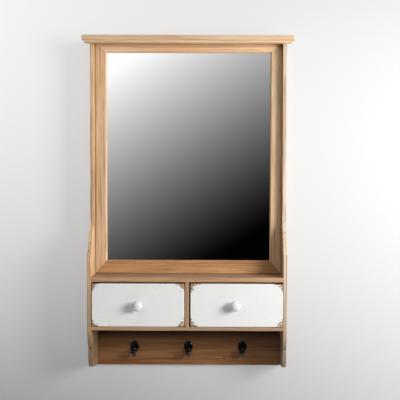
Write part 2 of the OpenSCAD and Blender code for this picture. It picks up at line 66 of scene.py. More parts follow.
lens = bpy.data.cameras.new("eye")
lens.sensor_width = 36
lens.lens = lens.sensor_width * focal_pixels / photo_width
lens.shift_x = -0.0542
camera = bpy.data.objects.new("eye", lens)
bpy.context.scene.collection.objects.link(camera)
bpy.context.scene.camera = camera
turn = Matrix.Rotation(eye_yaw, 4, "Z") @ Matrix.Rotation(math.pi / 2 + eye_pitch, 4, "X")
camera.matrix_world = Matrix.Translation(eye) @ turn @ Matrix.Rotation(eye_roll, 4, "Z")
bpy.context.scene.view_settings.view_transform = "Standard"


# The room. A smooth white wall carries the case, and a pale floor lies 1.2 m below it. Both are seen from
# their front only, so the back of the case shows from behind.
class Tone:
    """A number, a colour or a vector on its way through the nodes of one finish."""

    def __init__(self, tree, socket=None):
        self.tree = tree
        self.socket = socket

    def node(self, kind, settings=None, sockets=None, out=0):
        made = self.tree.nodes.new(kind)
        for key, value in (settings or {}).items():
            if key == "stops":
                for place, (position, level) in enumerate(value):
                    stops = made.color_ramp.elements
                    stop = stops[place] if place < 2 else stops.new(position)
                    stop.position = position
                    stop.color = (level, level, level, 1)
            else:
                setattr(made, key, value)
        for key, value in (sockets or {}).items():
            if isinstance(value, Tone):
                self.tree.links.new(value.socket, made.inputs[key])
            else:
                made.inputs[key].default_value = value
        return Tone(self.tree, made.outputs[out]) if made.outputs else self

    def maths(self, operation, first, second=0.0):
        return self.node("ShaderNodeMath", {"operation": operation}, {0: first, 1: second})

    def __add__(self, other):
        return self.maths("ADD", self, other)

    def __radd__(self, other):
        return self.maths("ADD", other, self)

    def __sub__(self, other):
        return self.maths("SUBTRACT", self, other)

    def __rsub__(self, other):
        return self.maths("SUBTRACT", other, self)

    def __mul__(self, other):
        return self.maths("MULTIPLY", self, other)

    def __rmul__(self, other):
        return self.maths("MULTIPLY", other, self)

    def __truediv__(self, other):
        return self.maths("DIVIDE", self, other)

    def __rtruediv__(self, other):
        return self.maths("DIVIDE", other, self)

    def __pow__(self, other):
        return self.maths("POWER", self, other)

    def __abs__(self):
        return self.maths("ABSOLUTE", self)

    def least(self, other):
        return self.maths("MINIMUM", self, other)

    def most(self, other):
        return self.maths("MAXIMUM", self, other)

    def rise(self, low, high, start=0.0, end=1.0):
        return self.node("ShaderNodeMapRange", {"interpolation_type": "SMOOTHSTEP"},
                         {"Value": self, "From Min": low, "From Max": high, "To Min": start, "To Max": end})

    def curve(self, *stops):
        return self.node("ShaderNodeValToRGB", {"stops": stops}, {0: self})

    def apart(self):
        """The three parts of a vector."""
        made = self.node("ShaderNodeSeparateXYZ", {}, {0: self}).socket.node
        return [Tone(self.tree, out) for out in made.outputs]

    def point(self):
        """Where on the piece a point lies, as its three coordinates."""
        return self.node("ShaderNodeTexCoord", out="Object").apart()

    def vector(self, x, y, z):
        return self.node("ShaderNodeCombineXYZ", {}, {"X": x, "Y": y, "Z": z})

    def cloud(self, vector, detail=2.0, rough=0.5):
        return self.node("ShaderNodeTexNoise", {}, {"Vector": vector, "Scale": 1.0, "Detail": detail,
                                                    "Roughness": rough})

    def speckle(self, point, scale, detail=2.0, rough=0.5):
        """A cloud with spots that are as long as they are wide."""
        x, y, z = point
        return self.cloud(self.vector(x * scale, y * scale, z * scale), detail, rough)

    def mix(self, first, second, share):
        return self.node("ShaderNodeMix", {"data_type": "RGBA"}, {0: share, 6: first, 7: second}, out=2)

    def bump(self, height, distance, strength=1.0):
        return self.node("ShaderNodeBump", {}, {"Height": height, "Distance": distance, "Strength": strength})


def rgb(red, green, blue):
    return (red, green, blue, 1.0)


def finish(name):
    made = bpy.data.materials.new(name)
    made.use_nodes = True
    made.node_tree.nodes.clear()
    return made, Tone(made.node_tree)


def coat(start, sockets):
    surface = start.node("ShaderNodeBsdfPrincipled", {}, sockets)
    start.node("ShaderNodeOutputMaterial", {}, {"Surface": surface})


def front_only(start, surface):
    """Ends a finish that is clear when seen from behind."""
    clear = start.node("ShaderNodeBsdfTransparent")
    behind = start.node("ShaderNodeNewGeometry", out="Backfacing")
    seen = start.node("ShaderNodeMixShader", {}, {0: behind, 1: surface, 2: clear})
    start.node("ShaderNodeOutputMaterial", {}, {"Surface": seen})


def sheet(name, corners, paint):
    mesh = bpy.data.meshes.new(name)
    mesh.from_pydata(corners, [], [range(len(corners))])
    mesh.materials.append(paint)
    obj = bpy.data.objects.new(name, mesh)
    bpy.context.scene.collection.objects.link(obj)
    obj.visible_shadow = False


room_half = 3.4
room_deep = 3.6
room_top = 2.4
floor_drop = 1.2
floor_z = cad_box[0].z - floor_drop
wall_gap = 0.0006

# The wall's own glow evens out what the lamps at the right give it, by places across it and down it
glow_spread = 2.01
wall_paint, start = finish("wall_paint")
point = start.point()
x, y, z = point
across = x * glow_spread - 0.06
down = -0.70 - z * glow_spread
glow_level = (0.461 - 0.007 * across - 0.157 * down + 0.042 * across * across + 0.108 * across * down
              - 0.111 * down * down).most(0.05).least(0.75)
glow = start.node("ShaderNodeEmission", {}, {"Color": start.vector(glow_level, glow_level, glow_level)})
dull = start.node("ShaderNodeBsdfDiffuse", {}, {"Color": rgb(0.28, 0.28, 0.28)})
backdrop = start.node("ShaderNodeAddShader", {}, {0: dull, 1: glow})
rolled = start.mix(rgb(0.79, 0.80, 0.80), rgb(0.81, 0.81, 0.805), start.speckle(point, 90.0))
plain = start.node("ShaderNodeBsdfDiffuse", {}, {"Color": rolled})
camera_ray = start.node("ShaderNodeLightPath", out="Is Camera Ray")
front_only(start, start.node("ShaderNodeMixShader", {}, {0: camera_ray, 1: plain, 2: backdrop}))

floor_paint, start = finish("floor_paint")
front_only(start, start.node("ShaderNodeBsdfDiffuse", {}, {"Color": rgb(0.74, 0.74, 0.73)}))

sheet("wall", [(-room_half, wall_gap, floor_z), (room_half, wall_gap, floor_z),
               (room_half, wall_gap, room_top), (-room_half, wall_gap, room_top)], wall_paint)
sheet("floor", [(-room_half, -room_deep, floor_z), (room_half, -room_deep, floor_z),
                (room_half, room_deep, floor_z), (-room_half, room_deep, floor_z)], floor_paint)


# The light. Two lamps at the right, a little above the case, throw the soft level shadows. A broad weak lamp
# at the left and a pale studio in front open them, and a lamp behind the wall lights the case's back. The
# glass mirrors a white reflector at the upper left that runs out to a black flag at the lower right.
case_middle = Vector((0, -0.05, -0.36))


def lamp(name, azimuth, height, away, size, watts):
    """An area lamp aimed at the case, from so many degrees to the right and up."""
    light = bpy.data.lights.new(name, "AREA")
    light.shape = "SQUARE"
    light.size = size
    light.energy = watts
    obj = bpy.data.objects.new(name, light)
    bpy.context.scene.collection.objects.link(obj)
    turned, up = math.radians(azimuth), math.radians(height)
    direction = Vector((math.sin(turned) * math.cos(up), -math.cos(turned) * math.cos(up), math.sin(up)))
    obj.location = case_middle + direction * away
    obj.rotation_mode = "QUATERNION"
    obj.rotation_quaternion = direction.to_track_quat("Z", "Y")


lamp("near_key_lamp", 56, 9, 0.95, 0.44, 3.6)
lamp("far_key_lamp", 54, 11, 2.4, 0.90, 54.5)
lamp("left_lamp", -45, 34, 1.6, 1.00, 3.5)
lamp("back_lamp", 205, 22, 1.8, 1.00, 22.0)

world = bpy.data.worlds.new("studio")
bpy.context.scene.world = world
world.use_nodes = True
world.node_tree.nodes.clear()
start = Tone(world.node_tree)
x, y, z = start.node("ShaderNodeTexCoord", out="Generated").apart()

# What the glass mirrors ahead of the wall falls off from the reflector to the flag with the slope of the view
reflector_tilt = 0.667
reflector_reach = 0.334
reflector_fall = 2.618
forward = 0.0 - y
slope = (reflector_tilt * x - z) / forward.most(0.05)
reflector = (reflector_reach - reflector_fall * slope).least(1.0).most(0.03) ** 2.2 * 1.08
ahead = forward.rise(0.80, 0.93)
around = z.rise(-0.8, 0.8, 0.0, 0.20)
glossy_level = ahead * reflector + (1.0 - ahead) * around
camera_ray = start.node("ShaderNodeLightPath", out="Is Camera Ray")
glossy_ray = start.node("ShaderNodeLightPath", out="Is Glossy Ray")
plain_level = 0.02 + 0.4 * y.rise(0.3, 0.8) + 0.80 * forward.rise(0.5, 0.85) * z.rise(-0.06, 0.12)
level = camera_ray.most(glossy_ray * glossy_level)
level = level + (1.0 - camera_ray.most(glossy_ray)) * plain_level
glow = start.node("ShaderNodeBackground", {}, {"Color": rgb(1, 1, 1), "Strength": level})
start.node("ShaderNodeOutputWorld", {}, {"Surface": glow})


# The side panels. Each is sawn from 8.5 mm fir to one outline: straight beside the mirror, an S sweep and a
# small ledge over the shelf, a long hollow and a notch under the drawers, and a foot with a round nose.
panel_low, panel_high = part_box("side_panel_left")
panel_depth = -panel_low.y
panel_foot = panel_low.z
panel_top = panel_high.z
upper_depth = 0.063
foot_depth = 0.097
ledge_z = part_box("shelf")[1].z + 0.0535
ledge_depth = 0.004
sweep_height = 0.082
sweep_lean = math.radians(19)
hollow_pull = 0.3
belly_pull = 0.55
notch_z = panel_foot + 0.0585
cove_height = 0.045
notch_in = 0.005
shoulder_radius = 0.004
nose_radius = 0.030
nose_lift = 0.011
curve_steps = 16


def bend(first, first_pull, last_pull, last):
    """Points on a curve between two ends, pulled towards two others."""
    shares = [step / curve_steps for step in range(curve_steps + 1)]
    return [(1 - t) ** 3 * first + 3 * (1 - t) ** 2 * t * first_pull + 3 * (1 - t) * t ** 2 * last_pull
            + t ** 3 * last for t in shares]


def arc(centre, radius, start_angle, end_angle, steps=curve_steps):
    """Points on part of a circle."""
    angles = [start_angle + (end_angle - start_angle) * step / steps for step in range(steps + 1)]
    return [centre + radius * Vector((math.cos(a), math.sin(a))) for a in angles]


def panel_outline():
    """The panel from the side, as (depth, height), from the top at the wall round to the foot at the wall."""
    sweep_top = Vector((upper_depth, ledge_z + sweep_height))
    sweep_end = Vector((panel_depth - ledge_depth, ledge_z))
    lean = Vector((-math.sin(sweep_lean), math.cos(sweep_lean)))
    cove_depth = panel_depth - foot_depth + notch_in
    cove_radius = (cove_height ** 2 + cove_depth ** 2) / (2 * cove_depth)
    cove_angle = math.asin(cove_height / cove_radius)
    under_angle = math.atan(nose_lift / (foot_depth - nose_radius))
    points = [Vector((0, panel_top)), Vector((upper_depth, panel_top))]
    points += bend(sweep_top, sweep_top - Vector((0, hollow_pull * sweep_height)),
                   sweep_end + belly_pull * sweep_height * lean, sweep_end)
    points.append(Vector((panel_depth, ledge_z)))
    points += arc(Vector((panel_depth - cove_radius, notch_z + cove_height)), cove_radius, 0, -cove_angle)
    points += arc(Vector((foot_depth - shoulder_radius, notch_z - shoulder_radius)), shoulder_radius,
                  math.pi / 2, 0, 4)
    points += arc(Vector((foot_depth - nose_radius, panel_foot + nose_lift + nose_radius)), nose_radius,
                  0, under_angle - math.pi / 2)
    points.append(Vector((0, panel_foot)))
    return points


def dense(points, step):
    """The same outline with a point at least every step."""
    result = []
    for place, point in enumerate(points):
        after = points[(place + 1) % len(points)]
        count = max(1, math.ceil((after - point).length / step))
        result += [point.lerp(after, share / count) for share in range(count)]
    return result


def piece(name, mesh, body, node):
    """Shows a mesh as a piece that rides on a body and stands for its CAD node."""
    obj = bpy.data.objects.new(name, mesh)
    bpy.context.scene.collection.objects.link(obj)
    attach(obj, body)
    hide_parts(node)
    return obj


def show(name, bm, surface, body, node):
    """Turns a bmesh into a piece of one finish."""
    mesh = bpy.data.meshes.new(name)
    bm.to_mesh(mesh)
    bm.free()
    mesh.materials.append(surface)
    return piece(name, mesh, body, node)


def even(obj):
    """Smooth shading that keeps broad faces flat."""
    for face in obj.data.polygons:
        face.use_smooth = True
    steady = obj.modifiers.new("even", "WEIGHTED_NORMAL")
    steady.weight = 80


def wear(bm, worn, depth):
    """Rubs the arrises back by an uneven amount."""
    bm.normal_update()
    layer = bm.verts.layers.float.new("arris")
    for vert in worn:
        if vert.is_valid:
            vert[layer] = 1.0
            rub = 0.5 + 0.5 * noise.noise(vert.co * 55) + 0.35 * noise.noise(vert.co * 190)
            vert.co -= vert.normal * depth * max(0.0, rub) ** 2


def band(bm, rings, capped=True):
    """Faces from each closed ring of points to the next, and one on the first and on the last."""
    faces = []
    for ring, after in zip(rings, rings[1:]):
        for place in range(len(ring)):
            onward = (place + 1) % len(ring)
            faces.append(bm.faces.new((ring[place], ring[onward], after[onward], after[place])))
    if capped:
        faces += [bm.faces.new(rings[0]), bm.faces.new(rings[-1])]
    return faces


board_step = 0.006
board_worn = 0.0005
board_skin = 0.0025
board_inset = 0.0012
broad_corners = 40


def plank(outline, lay, near, far, round_off=0.0009):
    """A board of one outline between two depths, with rounded and worn arrises."""
    bm = bmesh.new()
    skin = min(board_skin, (far - near) / 3)
    rings = [[bm.verts.new(lay(point.x, point.y, depth)) for point in dense(outline, board_step)]
             for depth in (near, near + skin, far - skin, far)]
    band(bm, rings)
    bmesh.ops.recalc_face_normals(bm, faces=bm.faces)
    sharp = [edge for edge in bm.edges if edge.calc_face_angle(0) > math.radians(35)]
    bevelled = bmesh.ops.bevel(bm, geom=sharp, offset=round_off, offset_type="OFFSET", segments=3,
                               profile=0.5, affect="EDGES", clamp_overlap=True)
    rounded = {vert for face in bevelled["faces"] for vert in face.verts}
    broad = [face for face in bm.faces if len(face.verts) > broad_corners]
    bmesh.ops.inset_region(bm, faces=broad, thickness=board_inset, use_even_offset=True)
    wear(bm, rounded, board_worn)
    return bm


def tinted(colour, *shares):
    return rgb(*(part * share for part, share in zip(colour, shares)))


pale_fir = rgb(0.52, 0.350, 0.205)
deep_fir = rgb(0.27, 0.138, 0.060)
knot_brown = rgb(0.11, 0.045, 0.018)
ring_gap = 0.0036


def fir_tone(start, along, heart, shift, pale=pale_fir, deep=deep_fir, knots=(), painted_shade=()):
    """Colour, roughness and relief of a fir board whose grain runs along one axis, past the tree's heart.
    Each painted shade darkens a band of heights: a low height, a high height, its share at each of them, and
    its colour."""
    axes = start.point()
    x, y, z = axes
    length = axes.pop(along) + shift
    a = axes[0] - heart[0]
    b = axes[1] - heart[1]

    def grain(across, lengthways, detail=2.0, rough=0.5):
        return start.cloud(start.vector(a * across, b * across, length * lengthways), detail, rough)

    radius = (a * a + b * b) ** 0.5 + (grain(7, 1.6) - 0.5) * 0.018 + (grain(60, 8) - 0.5) * 0.0016
    knot_dark = 0.0
    for knot_x, knot_z, size in knots:
        away = ((x - knot_x) ** 2.0 + (z - knot_z) ** 2.0) ** 0.5 + (grain(260, 260) - 0.5) * size * 0.5
        radius = radius + away.rise(0.0, size * 4.5, 1.0, 0.0) * size * 1.6
        knot_dark = away.rise(size * 0.7, size * 1.25, 1.0, 0.0).most(knot_dark)
    late = start.maths("FRACT", radius / ring_gap).curve((0.0, 0.75), (0.08, 0.10), (0.45, 0.0), (0.82, 0.5),
                                                       (0.96, 1.0), (1.0, 0.75))
    fibre = grain(950, 17, 3.0, 0.65)
    streak = grain(260, 5, 3.0, 0.6)
    fleck = grain(420, 11, 3.0, 0.65)
    stain = grain(45, 4.0, 3.0, 0.6)
    depth = (late * 0.40 + (fibre - 0.5) * 0.8 + (streak - 0.45) * 1.4 + (fleck - 0.5) * 1.9
             + (stain - 0.45) * 0.9)
    colour = start.mix(pale, deep, depth.rise(-0.25, 1.0))
    red = tinted(deep, 1.55, 1.25, 0.85)
    colour = start.mix(colour, red, grain(70, 7.0, 3.0).rise(0.52, 0.72, 0.0, 0.50))
    bleached = tinted(pale, 1.04, 1.13, 1.30)
    colour = start.mix(colour, bleached, grain(85, 9.0, 3.0).rise(0.52, 0.72, 0.0, 0.45))
    rubbed = tinted(pale, 1.18, 1.16, 1.12)
    arris = start.node("ShaderNodeAttribute", {"attribute_name": "arris"}, out="Fac")
    colour = start.mix(colour, rubbed, arris * grain(120, 60).rise(0.35, 0.65, 0.15, 0.7))
    if knots:
        colour = start.mix(colour, knot_brown, knot_dark * 0.6)
    # Painted shade: each band darkens the colour towards its shade colour between two heights.
    for low, high, low_share, high_share, shade_brown in painted_shade:
        colour = start.mix(colour, shade_brown, z.rise(low, high, low_share, high_share))
    rough = 0.50 + fibre * 0.16 + late * 0.06 - arris * 0.10
    relief = late * 0.35 + fibre * 0.5 + streak * 0.25 + fleck * 0.2
    return colour, rough, relief


def fir(name, along, heart, shift, pale=pale_fir, deep=deep_fir, knots=(), painted_shade=(), shine=0.5):
    made, start = finish(name)
    colour, rough, relief = fir_tone(start, along, heart, shift, pale, deep, knots, painted_shade)
    coat(start, {"Base Color": colour, "Roughness": rough, "Normal": start.bump(relief, 0.00035, 0.8),
                 "Specular IOR Level": shine, "Coat Weight": 0.12 * shine, "Coat Roughness": 0.35})
    return made


# Painted shade darkens each panel towards its foot and beside the open bay, more on the left panel.
painted_shade_brown = rgb(0.12, 0.070, 0.036)
for side, name, pale, foot_shade_share, bay_shade_share in (
        (-1, "left", rgb(0.73, 0.48, 0.265), 0.64, 0.60),
        (1, "right", rgb(0.66, 0.52, 0.36), 0.54, 0.34)):
    panel_painted_shade = ((-0.70, -0.645, foot_shade_share, 0.0, painted_shade_brown), (-0.63, -0.50, bay_shade_share, 0.0, painted_shade_brown))
    low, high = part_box("side_panel_" + name)
    wood = fir("fir_panel_" + name, 2, (side * 0.31, -0.21), 0.4 + side * 0.9, pale, painted_shade=panel_painted_shade)
    board = plank(panel_outline(), lambda d, z, x: (x, -d, z), low.x, high.x)
    even(show("case_panel_" + name, board, wood, "case", "side_panel_" + name))


# The crown. A board lies on the panels, and a strip of the same 12.5 mm fir is glued along its front edge and
# overhangs the panels by 16.5 mm. A small moulding under the strip turns the corners in short mitres.
crown_low, crown_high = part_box("crown_board")


def plain_board(node, thin, round_off):
    """A board that fills the box of its CAD node, drawn across its thin axis."""
    low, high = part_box(node)
    first, second = [axis for axis in range(3) if axis != thin]

    def lay(across, up, through):
        spot = Vector()
        spot[first], spot[second], spot[thin] = across, up, through
        return spot

    outline = [Vector((low[first], low[second])), Vector((high[first], low[second])),
               Vector((high[first], high[second])), Vector((low[first], high[second]))]
    return plank(outline, lay, low[thin], high[thin], round_off)


wood = fir("fir_crown", 0, (0.09, 0.42), 1.3, rgb(0.66, 0.465, 0.29), rgb(0.385, 0.207, 0.098))
even(show("crown_front_strip", plain_board("crown_board", 2, 0.0012), wood, "case", "crown_board"))
wood = fir("fir_top_board", 0, (0.05, 0.36), 1.8)
even(show("crown_top_board", plain_board("top_board", 2, 0.0008), wood, "case", "top_board"))

mould_low, mould_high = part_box("crown_moulding_front")
mould_fillet = 0.0035
mould_face = 0.002
mould_width = mould_high.y - mould_low.y
mould_height = mould_high.z - mould_low.z
mould_arrises = (1, 12)
moulding_worn = 0.0004


def profile(section, worn, ends, lay, step):
    """A length of moulding. Section points are (across, up), and ends(across) gives both mitred ends."""
    bm = bmesh.new()
    longest = max(ends(across)[1] - ends(across)[0] for across, up in section)
    count = math.ceil(longest / step)
    rings = []
    for place in range(count + 1):
        ring = []
        for across, up in section:
            first, last = ends(across)
            ring.append(bm.verts.new(lay(first + (last - first) * place / count, across, up)))
        rings.append(ring)
    band(bm, rings)
    bmesh.ops.remove_doubles(bm, verts=bm.verts, dist=0.000001)
    bmesh.ops.recalc_face_normals(bm, faces=bm.faces)
    wear(bm, [ring[place] for ring in rings for place in worn], moulding_worn)
    return bm


def mould_section():
    """The moulding's outline: a narrow upright face, and a round below it that runs in to the case."""
    angles = [math.pi / 2 * step / 10 for step in range(11)]
    curve = [(mould_fillet + (mould_width - mould_fillet) * math.cos(a),
              -mould_face - (mould_height - mould_face) * math.sin(a)) for a in angles]
    return [(0.0, 0.0), (mould_width, 0.0)] + curve + [(0.0, -mould_height)]


def smooth_by_angle(obj, degrees=28):
    """Smooth shading up to an angle, and a crisp edge past it."""
    limit = math.radians(degrees)
    bm = bmesh.new()
    bm.from_mesh(obj.data)
    for face in bm.faces:
        face.smooth = True
    for edge in bm.edges:
        edge.smooth = edge.calc_face_angle(0) < limit
    bm.to_mesh(obj.data)
    bm.free()


case_half = panel_high.x - panel_low.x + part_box("shelf")[1].x
# The moulding's fir is paler than the strip's, painted light on its round, which faces down away from the
# lamps.
mould_pale, mould_deep = rgb(0.82, 0.56, 0.345), rgb(0.54, 0.305, 0.150)
wood = fir("fir_moulding_front", 0, (-0.02, 0.33), 2.2, mould_pale, mould_deep)
front = profile(mould_section(), mould_arrises, lambda across: (-case_half - across, case_half + across),
                lambda along, across, up: (along, -upper_depth - across, crown_low.z + up), board_step)
smooth_by_angle(show("crown_cove_front", front, wood, "case", "crown_moulding_front"))
for side, name in ((-1, "left"), (1, "right")):
    wood = fir("fir_moulding_" + name, 1, (side * 0.4, 0.30), 2.9 + side, mould_pale, mould_deep)
    cove = profile(mould_section(), mould_arrises, lambda across: (upper_depth, upper_depth + across),
                   lambda along, across, up: (side * (case_half + across), -along, crown_low.z + up),
                   board_step)
    smooth_by_angle(show("crown_cove_" + name, cove, wood, "case", "crown_moulding_" + name))


# The mirror frame. Four fir members of unequal width meet in mitres. Their outer edge is rounded, a narrow
# bevel runs round the glass, and a rebate behind it holds the glass and its backing.
frame_low, frame_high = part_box("frame_stile_left")
face_depth = -frame_low.y
frame_thick = frame_high.y - frame_low.y
rail_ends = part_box("frame_top_rail")
inner_half = rail_ends[1].x
top_rail_width = rail_ends[1].z - rail_ends[0].z
bottom_rail_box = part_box("frame_bottom_rail")
bottom_rail_width = bottom_rail_box[1].z - bottom_rail_box[0].z
stile_width = frame_high.x - frame_low.x
sight_half = inner_half - stile_width
sight_low = bottom_rail_box[1].z
sight_high = rail_ends[0].z
bevel_width = 0.0025
lip_thick = 0.006
rebate_width = 0.008
edge_round = 0.0035
joint_gap = 0.00012
member_arrises = (1, 2)
member_step = 0.005


def member_section(width):
    """Closed outline of a frame member, from the glass side outwards, with its face up."""
    angles = [math.pi / 2 * (1 - step / 7) for step in range(8)]
    outer = [(width - edge_round + edge_round * math.cos(a), -edge_round + edge_round * math.sin(a))
             for a in angles]
    soft = 0.0004
    return [(0.0, -lip_thick), (bevel_width - soft, -soft * 1.6), (bevel_width + soft, -0.00005),
            (bevel_width + 6 * soft, 0.0)] + outer + [
        (width, -frame_thick), (rebate_width, -frame_thick), (rebate_width, -lip_thick)]


def mitre(across, width, other_width):
    """How far past the sight line a member's end lies, at a distance across its width."""
    flat = width - edge_round
    other_flat = other_width - edge_round
    if across <= bevel_width:
        return across
    if across <= flat:
        return bevel_width + (across - bevel_width) * (other_flat - bevel_width) / (flat - bevel_width)
    return other_flat + (across - flat)


def rail_member(width, up_sign, sight_z):
    def ends(across):
        reach = sight_half + mitre(across, width, stile_width) - joint_gap
        return -reach, reach
    return profile(member_section(width), member_arrises, ends,
                   lambda along, across, up: (along, -face_depth - up, sight_z + up_sign * across),
                   member_step)


def stile_member(side):
    def ends(across):
        low = sight_low - mitre(across, stile_width, bottom_rail_width) + joint_gap
        high = sight_high + mitre(across, stile_width, top_rail_width) - joint_gap
        return low, high
    return profile(member_section(stile_width), member_arrises, ends,
                   lambda along, across, up: (side * (sight_half + across), -face_depth - up, along),
                   member_step)


# The top rail's fir is paler than the stiles' to paint in light that the shade under the crown takes from it.
wood = fir("fir_top_rail", 0, (-0.30, 0.16), 3.7, rgb(0.81, 0.54, 0.315), rgb(0.50, 0.275, 0.133))
smooth_by_angle(show("mirror_rail_top", rail_member(top_rail_width, 1, sight_high), wood, "case",
                     "frame_top_rail"))
wood = fir("fir_bottom_rail", 0, (-0.21, -0.38), 4.4, rgb(0.48, 0.262, 0.110), rgb(0.265, 0.107, 0.034))
smooth_by_angle(show("mirror_rail_bottom", rail_member(bottom_rail_width, -1, sight_low), wood, "case",
                     "frame_bottom_rail"))
for side, name in ((-1, "left"), (1, "right")):
    wood = fir("fir_stile_" + name, 2, (side * 0.12, -0.30), 5.2 + side * 0.8,
               rgb(0.66, 0.445, 0.262), rgb(0.37, 0.20, 0.095))
    smooth_by_angle(show("mirror_stile_" + name, stile_member(side), wood, "case",
                         "frame_stile_" + name))


# The mirror. Three millimetres of silvered glass lie in the rebate, with a hardboard backing behind, and
# small steel points pressed into the rebate hold both.
def dress(node, surface):
    """Gives a CAD node its finish."""
    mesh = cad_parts[node].data
    mesh.materials.clear()
    mesh.materials.append(surface)


silver, start = finish("silvered_glass")
haze = start.speckle(start.point(), 9.0, 3.0)
silver_tone = start.mix(rgb(0.94, 0.94, 0.94), rgb(0.915, 0.915, 0.915), haze)
coat(start, {"Base Color": silver_tone, "Metallic": 1.0, "Roughness": haze.rise(0.4, 0.9, 0.0, 0.012)})
dress("mirror_glass", silver)

screen_pitch = 2600.0
hardboard, start = finish("hardboard")
point = start.point()
x, y, z = point
weave = start.maths("SINE", x * screen_pitch) * start.maths("SINE", z * screen_pitch)
blotch = start.speckle(point, 40.0, 4.0, 0.6)
tone = start.mix(rgb(0.23, 0.125, 0.062), rgb(0.13, 0.065, 0.03), (blotch + weave * 0.12).rise(0.25, 0.8))
coat(start, {"Base Color": tone, "Roughness": 0.62 + blotch * 0.2,
             "Normal": start.bump(weave * 0.5 + blotch, 0.0003)})
dress("mirror_backing", hardboard)

steel, start = finish("zinc_steel")
spangle = start.speckle(start.point(), 420.0)
tone = start.mix(rgb(0.62, 0.62, 0.60), rgb(0.44, 0.44, 0.43), spangle.rise(0.3, 0.7))
coat(start, {"Base Color": tone, "Metallic": 1.0, "Roughness": 0.28 + spangle * 0.22})
dress("glazing_points", steel)


# The shelf, the upright and the board under the drawers. Their front edges line up with the drawer fronts,
# half a millimetre behind the panels. The two level boards have their grain across the case, and the upright
# has its own up and down.
shelf_low, shelf_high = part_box("shelf")
# Painted shade darkens the shelf's top face.
shelf_painted_shade = ((shelf_high.z - 0.0016, shelf_high.z - 0.0004, 0.0, 0.36, rgb(0.155, 0.112, 0.080)),)
wood = fir("fir_shelf", 0, (-0.24, -0.70), 6.1, rgb(0.50, 0.30, 0.155), rgb(0.26, 0.125, 0.052),
           painted_shade=shelf_painted_shade)
even(show("case_shelf", plain_board("shelf", 2, 0.0011), wood, "case", "shelf"))

wood = fir("fir_upright", 2, (0.10, -0.23), 6.9, rgb(0.45, 0.275, 0.165), rgb(0.25, 0.13, 0.066))
even(show("drawer_upright", plain_board("drawer_divider", 0, 0.0007), wood, "case", "drawer_divider"))

wood = fir("fir_bottom_board", 0, (-0.02, -0.86), 7.7, rgb(0.42, 0.270, 0.155), rgb(0.22, 0.110, 0.050))
even(show("case_bottom_board", plain_board("bottom_board", 2, 0.0008), wood, "case", "bottom_board"))


# The hook rail closes the back of the open bay. It is a fir board with a strong, reddish figure and three
# small knots in its lower part. Painted shade darkens it towards its top edge, under the bottom board.
rail_low, rail_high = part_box("hook_rail")
hook_knots = ((-0.120, -0.722, 0.0035), (0.088, -0.741, 0.004), (0.062, -0.716, 0.0022))
# Painted shade under the bottom board, darkest at the rail's top edge.
rail_painted_shade = ((rail_high.z - 0.085, rail_high.z - 0.045, 0.0, 0.42, rgb(0.05, 0.014, 0.004)),
             (rail_high.z - 0.050, rail_high.z - 0.022, 0.0, 0.90, rgb(0.012, 0.004, 0.001)))
wood = fir("fir_hook_rail", 0, (0.03, -0.60), 8.3, rgb(0.245, 0.118, 0.047), rgb(0.110, 0.037, 0.011),
           hook_knots, rail_painted_shade, 0.2)
even(show("coat_rail", plain_board("hook_rail", 1, 0.0009), wood, "case", "hook_rail"))


# The back. A fir rail at the top carries the two keyhole plates, and thin plywood closes the drawer bay,
# held by small pins.
rail_wood = fir("fir_hanging_rail", 0, (-0.28, 0.20), 9.4, rgb(0.58, 0.38, 0.22), rgb(0.36, 0.19, 0.09))
dress("hanging_rail", rail_wood)
dress("keyhole_plate_left", steel)
dress("keyhole_plate_right", steel)


def plywood(name, thin):
    """Three-ply board whose thin axis is given, pale on its faces and striped on its edges."""
    made, start = finish(name)
    axes = start.point()
    through = axes.pop(thin)
    a, b = axes
    figure = start.cloud(start.vector(a * 6.0, b * 90.0, through * 300.0), 4.0, 0.6)
    fibre = start.cloud(start.vector(a * 30.0, b * 1500.0, through * 900.0), 2.0)
    depth = figure * 0.8 + fibre * 0.45
    colour = start.mix(rgb(0.60, 0.44, 0.27), rgb(0.41, 0.265, 0.14), depth.rise(0.35, 0.95))
    coat(start, {"Base Color": colour, "Roughness": 0.6 + fibre * 0.15,
                 "Normal": start.bump(depth, 0.0002)})
    return made


dress("back_panel", plywood("plywood_back", 1))
dress("back_panel_pins", steel)


# The drawers. Each has a 12 mm fir front painted white, worn back to the wood at its corners and along its
# edges, and a plain fir box with a thin plywood floor in a groove.
white = rgb(0.715, 0.715, 0.70)
aged_white = rgb(0.62, 0.605, 0.56)


